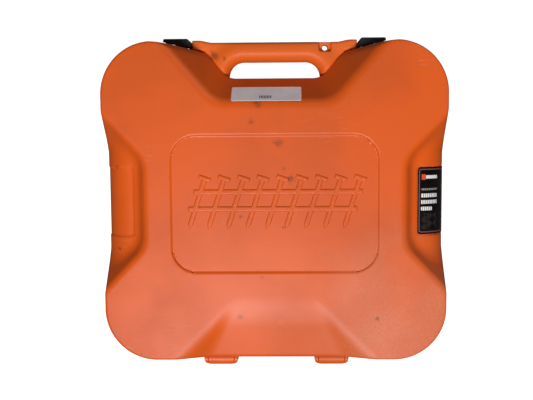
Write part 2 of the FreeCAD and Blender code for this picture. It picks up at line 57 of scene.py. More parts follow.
SHELL_LOW, SHELL_HIGH = (Vector(corner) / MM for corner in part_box("lid_outer_shell"))
MID_Y = (SHELL_LOW.y + SHELL_HIGH.y) / 2
HALF_X = (SHELL_HIGH.x - SHELL_LOW.x) / 2
HALF_Y = (SHELL_HIGH.y - SHELL_LOW.y) / 2
DEPTH = SHELL_HIGH.z - SHELL_LOW.z
LID_Z = SHELL_LOW.z
BASE_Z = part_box("base_outer_shell")[1].z / MM
STEP = 1.6                              # mesh size of a shell
PIECES = []                             # each finished piece with the name of its slot

# Form of one half, in millimetres and degrees.
CORNER = 70.5
DRAFT = math.radians(2.5)
WALL = 3.0
SCOOP_SLOPE = math.radians(34)
SHOULDER = (146.0, 110.0, 8.8)          # rim slopes down from the first x to the second
TOP_SCOOP = (129.5, 76.0, math.radians(49), 15.8)   # y, half length, flare, floor z
SIDE_SCOOP = (168.0, 58.0, math.radians(46))        # x, half length, flare
SIDE_FLOOR = (38.5, 7.8)                # radius of the round floor, height of its axis
RAMP = (143.0, 60.0, math.radians(13), 0.405, 1.02)  # y, half length, slope, side rise
PANEL = (133.6, 86.8, -90.75, 33.0, 1.8)             # half width, top, bottom, radius
LABEL = (184.5, 45.5, 1.3)              # inner x, half length, depth of the recess
ZONE = (161.5, 110.0)                   # floor of the handle's opening, its half width
ZONE_LEG = ((63.8, 165.0), math.radians(48.2))       # a point and the slope of its flank
ZONE_KNEE = ((93.0, 197.7), math.radians(12.3))      # the same for the flatter part above it
RIDGE = (5.0, 8.0)                      # softness of the side scoops' and the top scoop's edge
RIM = 3.0


# ---------------------------------------------------------------- distance fields
def smin(a, b, soft):
    """The lower of two fields, with the valley between them filled softly."""
    blend = np.clip(0.5 + 0.5 * (b - a) / soft, 0, 1)
    return b * (1 - blend) + a * blend - soft * blend * (1 - blend)


def smax(a, b, soft):
    """The higher of two fields, with the edge between them rounded."""
    return -smin(-a, -b, soft)


def step_between(low, high, value):
    """Rise smoothly from 0 to 1 while value goes from low to high."""
    part = np.clip((value - low) / (high - low), 0, 1)
    return part * part * (3 - 2 * part)


def rounded_rect(x, y, half_x, half_y, radius):
    """Distance to a rectangle with round corners, centred on the origin."""
    over_x = np.abs(x) - half_x + radius
    over_y = np.abs(y) - half_y + radius
    outside = np.hypot(np.maximum(over_x, 0), np.maximum(over_y, 0))
    return outside + np.minimum(np.maximum(over_x, over_y), 0) - radius


def half_plane(x, y, point, angle):
    """Signed distance left of a line through a point; the line runs at an angle."""
    return math.cos(angle) * (y - point[1]) - math.sin(angle) * (x - point[0])


def plan_field(x, y):
    """The plan of one half at the parting plane, without the handle's opening."""
    box = rounded_rect(x, y, HALF_X, HALF_Y, CORNER)
    far, near, drop = SHOULDER
    slope = math.atan2(drop, far - near)
    return smax(box, half_plane(np.abs(x), y, (far, HALF_Y), slope), 5.0)


def zone_field(x, y, grow=0.0):
    """The opening in the rim that the handle fills: negative inside it."""
    floor, half = ZONE
    across = np.abs(x)
    leg = half_plane(across, y, *ZONE_LEG)
    knee = half_plane(across, y, *ZONE_KNEE)
    inside = smin(y - floor, np.maximum(leg, knee), 7.0)
    return -np.minimum(inside, half - across) - grow


def top_scoop_field(x, y, z):
    """Above the handle: positive where the scoop is open."""
    edge, half, flare, floor = TOP_SCOOP
    lean, rise = math.cos(SCOOP_SLOPE), math.sin(SCOOP_SLOPE) * (z - DEPTH)
    middle = lean * (y - edge) + rise
    flank = lean * half_plane(np.abs(x), y, (half, edge), flare) + rise
    return smin(smin(middle, flank, 10.0), z - floor, 2.0)


def side_floor_field(x, y, z):
    """The round floor of a side scoop with the label recess pressed into it."""
    radius, axis_z = SIDE_FLOOR
    axis_x = HALF_X - axis_z * math.tan(DRAFT) - radius
    over_x, over_z = np.abs(x) - axis_x, z - axis_z
    field = np.hypot(np.maximum(over_x, 0), np.maximum(over_z, 0))
    field = field + np.minimum(np.maximum(over_x, over_z), 0) - radius
    start, half, depth = LABEL
    room = rounded_rect(np.abs(x) - start - 60, y, 60, half, 5.0)
    return field + depth * step_between(0.7, -0.7, room)


def side_scoop_field(x, y, z, labelled):
    """In both flanks: positive where the scoop is open."""
    edge, half, flare = SIDE_SCOOP
    lean, rise = math.cos(SCOOP_SLOPE), math.sin(SCOOP_SLOPE) * (z - DEPTH)
    across, along = np.abs(x) - edge, np.abs(y) - half
    inner = lean * across + rise
    flank = lean * (math.sin(flare) * across - math.cos(flare) * along) + rise
    floor = side_floor_field(x, y if labelled else y + 900, z)
    return smin(smin(inner, flank, 9.0), floor, 7.0)


def ramp_field(x, y, z):
    """The shallow ramp on the hinge side: positive where it is open."""
    edge, half, slope, side_rise, spread = RAMP
    run = -edge - y
    middle = math.cos(slope) * (z - DEPTH) + math.sin(slope) * run
    flank = z - DEPTH + side_rise * (half + spread * run - np.abs(x))
    flank = flank / math.sqrt(1 + side_rise ** 2 * (1 + spread ** 2))
    return smin(middle, flank, 3.0)


def half_field(x, y, z, labelled):
    """The solid form of one half of the case."""
    wall = (plan_field(x, y) + z * math.tan(DRAFT)) * math.cos(DRAFT)
    half_width, top, bottom, radius, depth = PANEL
    panel = rounded_rect(x, y - (top + bottom) / 2, half_width, (top - bottom) / 2, radius)
    lid = z - DEPTH + depth * step_between(0.8, -0.8, panel)
    form = smax(wall, lid, RIM)
    form = smax(form, ramp_field(x, y, z), 5.0)
    form = smax(form, side_scoop_field(x, y, z, labelled), RIDGE[0])
    form = smax(form, top_scoop_field(x, y, z), RIDGE[1])
    return smax(form, -zone_field(x, y), 2.0)


def shell_field(x, y, z, labelled=True):
    """The wall of one half, open at the parting plane."""
    form = half_field(x, y, z, labelled)
    skin = smax(form, -(form + WALL), 0.8)
    return smax(skin, -z, 1.4)


# ---------------------------------------------------------------- meshing
def surface_net(field, low, high, step):
    """Vertices and quads of the zero level of a field inside a box."""
    axes = [np.arange(a - step, b + 2 * step, step) for a, b in zip(low, high)]
    grid = np.meshgrid(*axes, indexing="ij")
    values = field(*grid)
    cells = [len(axis) - 1 for axis in axes]
    total = np.zeros(cells + [3])
    count = np.zeros(cells)
    offsets = [(i, j, k) for i in (0, 1) for j in (0, 1) for k in (0, 1)]
    corner = {o: values[tuple(slice(a, a + n) for a, n in zip(o, cells))] for o in offsets}
    for start in offsets:
        for axis in range(3):
            if start[axis]:
                continue
            end = tuple(1 if n == axis else s for n, s in enumerate(start))
            first, second = corner[start], corner[end]
            crossed = (first < 0) != (second < 0)
            gap = np.where(crossed, first - second, 1)
            part = np.where(crossed, first / gap, 0)
            for n in range(3):
                total[..., n] += crossed * (part if n == axis else start[n])
            count += crossed
    used = count > 0
    index = np.full(cells, -1)
    index[used] = np.arange(used.sum())
    origin = np.array([axis[0] for axis in axes])
    points = origin + step * (np.argwhere(used) + total[used] / count[used][:, None])

    quads = []
    inside = values < 0
    for axis in range(3):
        one, two = [n for n in range(3) if n != axis]
        if axis == 1:
            one, two = two, one
        size = list(values.shape)
        body = [slice(1, s - 1) for s in size]
        body[axis] = slice(0, size[axis] - 1)
        ahead = list(body)
        ahead[axis] = slice(1, size[axis])
        here, there = inside[tuple(body)], inside[tuple(ahead)]
        for leaving in (True, False):
            spots = np.argwhere((here != there) & (here == leaving))
            spots = spots + np.array([s.start for s in body])
            ring = []
            for back_one, back_two in ((1, 1), (0, 1), (0, 0), (1, 0)):
                cell = spots.copy()
                cell[:, one] -= back_one
                cell[:, two] -= back_two
                ring.append(index[tuple(cell.T)])
            faces = np.stack(ring, axis=1)
            quads.append(faces if leaving else faces[:, ::-1])
    return points, np.concatenate(quads)


def settle(points, field, step, rounds=3):
    """Pull vertices on to the zero level along the slope of the field."""
    nudge = 0.15 * step
    for _ in range(rounds):
        value = field(*points.T)
        slope = np.empty_like(points)
        for axis in range(3):
            shift = np.zeros(3)
            shift[axis] = nudge
            ahead, behind = field(*(points + shift).T), field(*(points - shift).T)
            slope[:, axis] = (ahead - behind) / (2 * nudge)
        steepness = np.maximum((slope ** 2).sum(axis=1), 0.2)
        move = -slope * (value / steepness)[:, None]
        points = points + np.clip(move, -0.5 * step, 0.5 * step)
    return points


def moulded(name, field, low, high, step, place, body, slot_name, node):
    """Mesh a field, put it in the case and let it stand for its CAD node."""
    points, quads = surface_net(field, low, high, step)
    points = settle(points, field, step)
    points, flipped = place(points)
    mesh = bpy.data.meshes.new(name)
    mesh.from_pydata(points * MM, [], (quads[:, ::-1] if flipped else quads).tolist())
    mesh.shade_smooth()
    mesh.validate()
    piece = bpy.data.objects.new(name, mesh)
    bpy.context.scene.collection.objects.link(piece)
    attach(piece, body)
    if node:
        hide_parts(node)
    PIECES.append((piece, slot_name))


def in_lid(points):
    """From the upright frame of a half to the lid half."""
    return points + np.array([0, MID_Y, LID_Z]), False


def in_base(points):
    """From the upright frame of a half to the base half, which hangs upside down."""
    return points * np.array([1, 1, -1]) + np.array([0, MID_Y, BASE_Z]), True


# ---------------------------------------------------------------- handle
GRIP = (13.3, 21.0, 18.2)               # hole to crest, crest to flat, height of the crest
HOLE = (60.0, 183.0, 19.0)              # half length, top, corner radius
HANDLE_EDGE = (209.3, 212.2, 109.6)     # outer edge at the grip, at the ends, half length
FLANGE = 13.0
HANDLE_LOW = 155.0
HANDLE_STEP = 1.0
LOCK = (67.0, 201.8, 3.75, 8.0, 196.5, 8.0)   # eye x, y, radius; notch half width, low, web
SEAM = 1.2                              # how far a piece runs into the wall it grows out of


def handle_field(x, y, z):
    """Half of the handle: a flange, the round grip and the notched padlock eye."""
    half, top, radius = HOLE
    rise, fall, height = GRIP
    hole = rounded_rect(x, y - top + 60, half, 60, radius)
    away = np.where(hole < rise, (rise - hole) / rise, (hole - rise) / fall)
    grip = (np.hypot(away, z / height) - 1) * rise
    flange = smax(z - FLANGE, 9.0 - hole, 4.0)
    edge, end_edge, end = HANDLE_EDGE
    across = np.abs(x)
    outer = y - edge - (end_edge - edge) * step_between(82, 101, across)
    plan = smax(smax(zone_field(x, y, SEAM), outer, 1.0), across - end, 1.5)
    form = smax(smin(grip, flange, 4.0), plan, 4.5)
    form = smax(form, -hole, 1.0)
    eye_x, eye_y, eye, notch, notch_low, web = LOCK
    room = smin(smin(notch - np.abs(x - eye_x), y - notch_low, 3.0), z - web, 2.0)
    form = smax(form, room, 1.6)
    form = smax(form, eye - np.hypot(x - eye_x, y - eye_y), 0.8)
    return smax(form, -z, 1.0)


# ---------------------------------------------------------------- hinge lugs
HINGE = (-221.5, 9.1, 76.0, 47.0, 5.5, 0.2)   # axis y, radius, centre x, width, cheek, gap
ARM = (-208.6, 7.0)                     # where the arm ends in the wall, its height
LUG_STEP = 0.7


def lug_field(cheeks):
    """Both lugs of one half: a middle knuckle each, or two cheeks each."""
    axis_y, radius, centre, width, cheek, gap = HINGE
    root, arm_high = ARM
    drop = (LID_Z - BASE_Z) / 2

    def field(x, y, z):
        along = np.abs(np.abs(x) - centre)
        span = along - (width / 2 - cheek - gap)
        outer = along - width / 2
        if cheeks:
            span = width / 2 - cheek - along
        knuckle = np.hypot(y - axis_y, z + drop) - radius
        arm = np.maximum(np.maximum(axis_y - y, y - root), np.maximum(z - arm_high, -z))
        tab = smax(smin(knuckle, arm, 1.0), span, 0.3)
        corner = smax(axis_y - radius - y, outer, 11.0)
        return smax(tab, corner, 1.2)
    return field


# ---------------------------------------------------------------- latches
LATCH = (110.4, 147.0, 213.8, 3.2, 20.0, -24.5)   # inner x, outer x, face y, wall, top, foot
PIVOT = (208.0, -27.5, 2.5, 1.25)       # y, z, barrel radius, bore radius
BARREL = (118.4, 130.6)                 # from and to which x the barrel runs
CHAMFER = (208.2, math.radians(53))     # y and slope of the cut at the inner end
RIB = (0.35, 4.4)                       # depth and pitch of the ribs on the face
LATCH_LOW = 198.0
LATCH_STEP = 0.6


def latch_field(side):
    """A wedge-shaped latch with a ribbed face, on the left (-1) or the right (+1)."""
    inner, outer, face, wall, top, foot = LATCH
    far, near, drop = SHOULDER
    slope = math.atan2(drop, far - near)
    pivot_y, pivot_z, barrel, bore = PIVOT
    start, end = BARREL

    def field(x, y, z):
        across = side * x
        ribs = RIB[0] * step_between(-0.2, 0.6, np.cos((z - 4) * 2 * math.pi / RIB[1]))
        ribs = ribs * step_between(17, 12, z) * step_between(-20, -15, z)
        plan = smax(y - face + ribs, across - outer, 2.2)
        plan = smax(plan, inner - across, 2.2)
        chamfer = half_plane(across, y, (inner, CHAMFER[0]), CHAMFER[1])
        plan = smax(plan, chamfer, 1.5)
        rim = half_plane(across, y, (far, HALF_Y - 0.2), slope)
        block = smax(smax(plan, -rim, 0.3), smax(z - top, foot - z, 1.0), 1.8)
        room = smin(smin(across - inner - wall, face - wall - y, 1.0), top - wall - z, 1.0)
        block = smax(block, room, 0.8)
        span = np.maximum(start - across, across - end)
        web = np.maximum(np.maximum(pivot_y - y, y - face + wall - 0.6),
                         np.maximum(pivot_z - 1 - z, z - pivot_z - 5))
        drum = np.hypot(y - pivot_y, z - pivot_z)
        drum = smax(np.minimum(drum - barrel, web), span, 0.8)
        return smax(smin(block, drum, 0.8), bore - np.hypot(y - pivot_y, z - pivot_z), 0.4)
    return field


# ---------------------------------------------------------------- liners
LINER = 3.0
LINER_STEP = 1.75
POCKET_DRAFT = math.radians(4)
POCKETS = (                             # centre, size, turn, corner radius, depth
    (-98, 2, 102, 228, 0, 20, 50), (-98, -128, 58, 66, 0, 9, 44),
    (18, -118, 236, 44, 14, 10, 38), (4, 62, 168, 50, -14, 20, 42),
    (133, 84, 70, 90, 0, 8, 46), (110, 4, 132, 42, 0, 9, 38), (110, -46, 132, 42, 0, 9, 38))
DISH = (-16.0, 157.5, 129.5, 40.0, 33.5, math.radians(8))
PADS = (                                # centre, size, rise
    (-86, -10, 56, 120, 9), (70, 30, 120, 34, 6), (70, -70, 120, 34, 6))


def rim_field(x, y, z):
    """The flat rim of a liner, which fills its shell at the parting plane."""
    plan = smax(plan_field(x, y), -zone_field(x, y), 2.0) + WALL + z * math.tan(DRAFT)
    return smax(plan, z - LINER, 1.0)


def nest_field(x, y, z):
    """The pockets of the base liner: negative inside a pocket."""
    hollow = None
    for centre_x, centre_y, width, height, turn, radius, depth in POCKETS:
        angle = math.radians(turn)
        along = (x - centre_x) * math.cos(angle) + (y - centre_y) * math.sin(angle)
        across = (y - centre_y) * math.cos(angle) - (x - centre_x) * math.sin(angle)
        wall = rounded_rect(along, across, width / 2, height / 2, radius)
        tub = smax(wall + z * math.tan(POCKET_DRAFT), z - depth, 9.0)
        hollow = tub if hollow is None else smin(hollow, tub, 3.0)
    return hollow


def dish_field(x, y, z):
    """The hollow of the lid liner, with three pads that bear on what lies in the base."""
    centre_y, half_x, half_y, radius, depth, draft = DISH
    wall = rounded_rect(x, y - centre_y, half_x, half_y, radius) + z * math.tan(draft)
    floor = z - depth
    for pad_x, pad_y, pad_width, pad_height, rise in PADS:
        pad = rounded_rect(x - pad_x, y - pad_y, pad_width / 2, pad_height / 2, 12)
        floor = floor + rise * step_between(4, -4, pad)
    return smax(wall, floor, 12.0)


def liner_field(hollow_field):
    """A moulded liner round a hollow, with soft edges where the hollow opens."""
    def field(x, y, z):
        hollow = hollow_field(x, y, z)
        form = smin(rim_field(x, y, z), hollow - LINER, 3.0)
        return smax(smax(form, -hollow, 4.0), -z, 1.2)
    return field


# ---------------------------------------------------------------- emblem
EMBLEM_RISE = 1.5
EMBLEM_STEP = 0.8
TAPES = (-8.0, 14.0)                    # heights of the two tapes that hold the nails
NAILS = (9, 25.0, 72.0, math.radians(18))     # how many, pitch, length, lean


def emblem_field(x, y, z):
    """A relief of a slanted strip of collated nails on the lid's panel."""
    count, pitch, length, lean = NAILS
    half_strip = (count - 1) / 2 * pitch
    shape = None
    for number in range(count):
        centre = number * pitch - half_strip
        across = (x - centre) * math.cos(lean) - y * math.sin(lean)
        along = (x - centre) * math.sin(lean) + y * math.cos(lean)
        shaft = np.maximum(np.abs(across) - 3.4, np.abs(along) - length / 2)
        tip = (np.abs(across) * 2 - (along + length / 2)) / math.sqrt(5)
        head = np.maximum(np.abs(across) - 8.4, np.abs(along - length / 2 + 2.8) - 2.8)
        nail = np.minimum(np.maximum(shaft, tip), head)
        shape = nail if shape is None else np.minimum(shape, nail)
    for height in TAPES:
        middle = height * math.tan(lean)
        tape = np.maximum(np.abs(y - height) - 3.4, np.abs(x - middle) - half_strip - 9)
        shape = np.minimum(shape, tape)
    floor = DEPTH - PANEL[4]
    return smax(smax(shape, z - floor - EMBLEM_RISE, 1.8), floor - 1 - z, 0.3)


# ---------------------------------------------------------------- all moulded pieces
def mould_everything():
    """Mesh every moulded piece and let it stand for its CAD node."""
    halves = (("lid", in_lid, True), ("base", in_base, False))
    low, high = (-HALF_X, -HALF_Y, 0), (HALF_X, HALF_Y, DEPTH)
    edge, end_edge, end = HANDLE_EDGE
    axis_y, radius, centre, width, cheek, gap = HINGE
    for half, place, labelled in halves:
        def shell(x, y, z):
            return shell_field(x, y, z, labelled)
        moulded(f"{half}_shell", shell, low, high, STEP, place, half,
                "case_orange", f"{half}_outer_shell")
        moulded(f"{half}_handle", handle_field, (-end, HANDLE_LOW, 0),
                (end, end_edge, GRIP[2]), HANDLE_STEP, place, half,
                "handle_orange", f"{half}_handle_half")
        hollow = dish_field if labelled else nest_field
        depth = DISH[4] if labelled else max(pocket[6] for pocket in POCKETS)
        moulded(f"{half}_liner", liner_field(hollow), low,
                (HALF_X, HALF_Y, depth + LINER), LINER_STEP, place, half,
                "liner_orange", f"{half}_inner_liner")
        for side, name in ((-1, "left"), (1, "right")):
            near, far = sorted((side * (centre - width / 2), side * (centre + width / 2)))
            moulded(f"{half}_hinge_{name}", lug_field(not labelled),
                    (near, axis_y - radius, -radius), (far, ARM[0], radius), LUG_STEP,
                    place, half, "case_orange", f"{half}_hinge_lug_{name}")
    inner, outer, face, wall, top, foot = LATCH
    for side, name in ((-1, "left"), (1, "right")):
        near, far = sorted((side * inner, side * outer))
        moulded(f"latch_{name}_lever", latch_field(side), (near, LATCH_LOW, PIVOT[1] - 4),
                (far, face, top), LATCH_STEP, in_lid, f"latch_{name}",
                "latch_black", f"latch_{name}")
    moulded("lid_emblem", emblem_field, (-130, -40, DEPTH - 4),
            (130, 40, DEPTH), EMBLEM_STEP, in_lid, "lid", "case_orange", None)


# ---------------------------------------------------------------- labels
LABEL_SKIN = (1.3, 0.6, 1.5, 5.5, 4.0)  # recess, thickness, margin, low edge, corner radius
STICKER = (90.0, 33.0, 0.4, -10.0, 1.5, 2.0)    # size, thickness, x, drop, corner radius


def film(length, half, corner, thick, spot):
    """Points and faces of a thin closed film with round corners.

    Its width runs along Y; spot(along, lift) gives the X and Z of each step along it.
    """
    bend = corner * (1 - np.cos(np.linspace(0, math.pi / 2, 7)))
    middle = np.linspace(corner, length - corner, 60)[1:-1]
    along = np.concatenate([bend, middle, length - bend[::-1]])
    near = corner - np.minimum(np.minimum(along, length - along), corner)
    reach = half - corner + np.sqrt(corner ** 2 - near ** 2)
    rows = np.linspace(-1, 1, 21)
    count, wide = len(along), len(rows)
    layers = []
    for lift in (0.0, thick):
        a, b = spot(along, lift)
        layers += [(a[i], reach[i] * row, b[i]) for i in range(count) for row in rows]
    size = count * wide
    faces = []
    for i in range(count - 1):
        for j in range(wide - 1):
            first = i * wide + j
            quad = (first, first + 1, first + wide + 1, first + wide)
            faces += [quad, tuple(size + number for number in reversed(quad))]
    rim = [i * wide for i in range(count)] + [(count - 1) * wide + j for j in range(1, wide)]
    rim += [i * wide + wide - 1 for i in range(count - 2, -1, -1)]
    rim += list(range(wide - 2, 0, -1))
    for first, second in zip(rim, rim[1:] + rim[:1]):
        faces.append((first, second, size + second, size + first))
    return np.array(layers), faces


def round_side(along, lift):
    """Where the printed label lies: flat, then round the scoop's floor, then upright."""
    radius, axis_z = SIDE_FLOOR
    radius = radius - LABEL_SKIN[0]
    axis_x = HALF_X - axis_z * math.tan(DRAFT) - radius - LABEL_SKIN[0]
    start = LABEL[0] + LABEL_SKIN[2]
    flat = axis_x - start
    turn = np.clip((along - flat) / radius, 0, math.pi / 2)
    down = np.maximum(along - flat - radius * math.pi / 2, 0)
    x = np.minimum(start + along, axis_x) + (radius + lift) * np.sin(turn)
    return x, axis_z + (radius + lift) * np.cos(turn) - down


def add_film(name, mesh_data, place, slot_name, node):
    """Make a film's mesh, put it on the lid and let it stand for its CAD node."""
    points, faces = mesh_data
    mesh = bpy.data.meshes.new(name)
    mesh.from_pydata(place(points)[0] * MM, [], faces)
    mesh.shade_smooth()
    mesh.set_sharp_from_angle(angle=math.radians(40))
    piece = bpy.data.objects.new(name, mesh)
    bpy.context.scene.collection.objects.link(piece)
    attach(piece, "lid")
    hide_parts(node)
    PIECES.append((piece, slot_name))


def on_scoop(points):
    """Lean the sticker on the middle wall of the lid's top scoop."""
    _, height, _, middle, drop, _ = STICKER
    turn = np.array(Matrix.Rotation(SCOOP_SLOPE, 3, "X"))
    edge = np.array([middle, TOP_SCOOP[0], DEPTH])
    down = np.array([0, math.sin(SCOOP_SLOPE), -math.cos(SCOOP_SLOPE)]) * (drop + height)
    return in_lid(points @ turn.T + edge + down)


def lay_labels():
    """Lay the printed label round the side and the sticker on the top scoop."""
    recess, thick, margin, low, corner = LABEL_SKIN
    radius, axis_z = SIDE_FLOOR
    bend = radius - recess
    flat = HALF_X - axis_z * math.tan(DRAFT) - radius - LABEL[0] - margin
    length = flat + bend * math.pi / 2 + axis_z - low
    label = film(length, LABEL[1] - margin, corner, thick, round_side)
    add_film("side_label_film", label, in_lid, "label_black", "side_label")
    width, height, thick, _, _, corner = STICKER

    def flat_spot(along, lift):
        return along - width / 2, np.full_like(along, lift)
    points, faces = film(width, height / 2, corner, thick, flat_spot)
    upright = points[:, [0, 2, 1]] + np.array([0, 0, height / 2])
    add_film("top_sticker", (upright, [face[::-1] for face in faces]), on_scoop,
             "sticker_grey", "top_label")


# ---------------------------------------------------------------- shader helpers
def linear(red, green, blue):
    """A linear colour from the 0 to 255 steps of a screen."""
    steps = (red / 255, green / 255, blue / 255)
    return tuple(v / 12.92 if v < 0.04 else ((v + 0.055) / 1.055) ** 2.4 for v in steps) + (1,)


class Shader:
    """A material's node tree, with one method for each kind of node it needs."""

    def __init__(self, name, roughness, colour):
        self.material = bpy.data.materials.new(name)
        self.material.use_nodes = True
        self.tree = self.material.node_tree
        self.surface = self.tree.nodes["Principled BSDF"]
        self.surface.inputs["Roughness"].default_value = roughness
        self.surface.inputs["Base Color"].default_value = colour
        self.place = self.add("ShaderNodeTexCoord").outputs["Object"]

    def add(self, kind, values=(), **settings):
        """Add a node; each value is a number, a colour or a socket to link from."""
        made = self.tree.nodes.new(kind)
        for key, value in settings.items():
            setattr(made, key, value)
        for key, value in values:
            if isinstance(value, bpy.types.NodeSocket):
                self.tree.links.new(value, made.inputs[key])
            else:
                made.inputs[key].default_value = value
        return made

    def maths(self, operation, first, second=0.0):
        values = ((0, first), (1, second))
        return self.add("ShaderNodeMath", values, operation=operation).outputs[0]

    def noise(self, scale, detail=2.0, stretch=(1, 1, 1), turn=0.0):
        """Noise with features of about 1 / scale metres."""
        turned = self.add("ShaderNodeMapping", (("Vector", self.place), ("Scale", stretch),
                                                ("Rotation", (0, 0, turn))))
        values = (("Vector", turned.outputs[0]), ("Scale", scale), ("Detail", detail))
        return self.add("ShaderNodeTexNoise", values).outputs[0]

    def between(self, value, low, high, start=0.0, end=1.0):
        """Rise smoothly from start to end while a value goes from low to high."""
        values = (("Value", value), ("From Min", low), ("From Max", high),
                  ("To Min", start), ("To Max", end))
        return self.add("ShaderNodeMapRange", values, interpolation_type="SMOOTHSTEP").outputs[0]

    def mix(self, factor, first, second):
        """Blend two colours."""
        values = ((0, factor), (6, first), (7, second))
        return self.add("ShaderNodeMix", values, data_type="RGBA").outputs[2]

    def spot(self, centre, radius, soft):
        """A round mask in the plan of the case, its edge broken up by noise."""
        middle = Vector((centre[0], centre[1] + MID_Y, 0)) * MM
        flat = self.add("ShaderNodeVectorMath", ((0, self.place), (1, (1, 1, 0))),
                        operation="MULTIPLY").outputs[0]
        values = ((0, flat), (1, middle))
        away = self.add("ShaderNodeVectorMath", values, operation="DISTANCE").outputs["Value"]
        rough = self.maths("MULTIPLY", self.noise(1.1 / (radius * MM), 3.0), 2 * radius * MM)
        edge = 1.6 * radius * MM
        return self.between(self.maths("ADD", away, rough), edge * (1 + soft), edge * (1 - soft))

    def bump(self, height, distance, strength):
        """Raise the surface by a height; the distance is in metres."""
        values = (("Height", height), ("Distance", distance), ("Strength", strength))
        raised = self.add("ShaderNodeBump", values).outputs[0]
        self.tree.links.new(raised, self.surface.inputs["Normal"])

    def paint(self, key, value):
        """Drive one input of the surface."""
        self.tree.links.new(value, self.surface.inputs[key])


# ---------------------------------------------------------------- materials
ORANGE = linear(222, 90, 22)
STAIN = linear(92, 46, 26)
# Pale dust colour; also the colour of the painted sheen on the lower right corner.
DUST_AND_SHEEN = linear(214, 150, 122)
# The handle's orange is the case's orange made lighter: painted light on the handle.
LIT_HANDLE_ORANGE = linear(240, 106, 30)
LINER_ORANGE = linear(212, 84, 22)
# The paler lower right corner: partly dust, partly painted sheen.
DUST_AND_SHEEN_CORNER = ((165, -165), 110, 0.5)  # centre, radius, softness
STAINS = (                              # centre from the middle of the case, radius, strength
    ((5, 77), 7, 0.45), ((21, 30), 6, 0.55), ((12, 44), 4, 0.35), ((-44, -18), 3, 0.5),
    ((11, -32), 3, 0.5), ((-207, 46), 3, 0.6), ((-206, -62), 3, 0.6), ((-17, -97), 3, 0.4),
    ((-30, 104), 5, 0.45), ((-22, 127), 6, 0.6), ((133, -152), 4, 0.6), ((-45, -150), 5, 0.4),
    ((-80, 192), 7, 0.6), ((-66, 188), 4, 0.5))


def moulded_plastic(name, colour, worn_with_sheen, polish=0.0):
    """Grained polyethylene: faded in patches, with dust, scuffs and small stains; one corner is
    paler, partly dust and partly painted sheen.
    """
    shader = Shader(name, 0.45, colour)
    shader.surface.inputs["Specular IOR Level"].default_value = 0.27
    fade = shader.noise(7, 4.0)
    deep = tuple(part * 0.84 for part in colour[:3]) + (1,)
    tint = shader.mix(shader.between(fade, 0.35, 0.65), colour, deep)
    speckle = shader.noise(800, 2.0)
    pale = shader.mix(0.5, colour, DUST_AND_SHEEN)
    amount = shader.between(speckle, 0.45, 0.75, 0.0, 0.04)
    tint = shader.mix(amount, tint, pale)
    # One corner is paler, partly dust and partly painted sheen; then the small stains.
    if worn_with_sheen:
        dust_and_sheen = shader.maths("MULTIPLY", shader.spot(*DUST_AND_SHEEN_CORNER),
                             shader.between(speckle, 0.3, 0.7, 0.18, 0.5))
        tint = shader.mix(dust_and_sheen, tint, DUST_AND_SHEEN)
        for centre, radius, strength in STAINS:
            mask = shader.maths("MULTIPLY", shader.spot(centre, radius, 0.35), strength)
            tint = shader.mix(mask, tint, STAIN)
    scuff = shader.maths("MULTIPLY", shader.between(shader.noise(60, 2.0, (1, 14, 1), 0.7),
                                                    0.66, 0.7),
                         shader.between(shader.noise(11, 1.0), 0.56, 0.66, 0.0, 0.3))
    tint = shader.mix(scuff, tint, DUST_AND_SHEEN)
    shader.paint("Base Color", tint)
    shader.paint("Roughness", shader.between(fade, 0.3, 0.7, 0.37 - polish, 0.45 - polish))
    cells = shader.add("ShaderNodeTexVoronoi", (("Vector", shader.place), ("Scale", 880.0)),
                       feature="SMOOTH_F1").outputs["Distance"]
    grain = shader.maths("ADD", cells, shader.maths("MULTIPLY", speckle, 0.6))
    shader.bump(grain, 0.00018, 0.5)
    return shader.material


def satin_black(name):
    """The latches: dark, slightly glossy plastic with fine scratches."""
    shader = Shader(name, 0.3, linear(8, 6, 6))
    scratch = shader.noise(240, 3.0, (1, 9, 1), 0.4)
    shader.paint("Base Color", shader.mix(shader.between(scratch, 0.6, 0.8, 0.0, 0.5),
                                          linear(7, 5, 5), linear(34, 28, 26)))
    shader.paint("Roughness", shader.between(shader.noise(90, 3.0), 0.3, 0.7, 0.26, 0.44))
    shader.bump(shader.noise(1400, 2.0), 0.00005, 0.3)
    return shader.material


def plated_steel(name):
    """The hinge and latch pins: zinc-plated steel with drawing marks along X."""
    shader = Shader(name, 0.32, linear(176, 178, 182))
    shader.surface.inputs["Metallic"].default_value = 1.0
    lines = shader.noise(2600, 2.0, (0.02, 1, 1))
    shader.paint("Base Color", shader.mix(shader.between(lines, 0.4, 0.7),
                                          linear(186, 188, 192), linear(138, 138, 142)))
    shader.paint("Roughness", shader.between(shader.noise(300, 2.0), 0.3, 0.7, 0.24, 0.42))
    shader.bump(lines, 0.00003, 0.4)
    return shader.material


WHITE_INK, GREY_INK, RED_INK = linear(226, 224, 222), linear(150, 142, 138), linear(222, 78, 50)
BARS = (                                # centre, half size, ink
    ((25.4, 31), (12.8, 2.2), WHITE_INK), ((8.8, 31), (3.2, 3.6), RED_INK),
    ((21.6, 15), (16.7, 1.2), GREY_INK), ((21.4, 6.9), (16.5, 2.5), WHITE_INK),
    ((21.4, -1.6), (16.5, 2.5), WHITE_INK), ((15.1, -10.4), (10.2, 2.5), WHITE_INK))
BORDER = ((30, 0), (27.6, 41), 2.6)     # centre, half size, corner radius
CHECKED = ((23, -27), (17, 11), 2)      # the same for the patch with a checked print


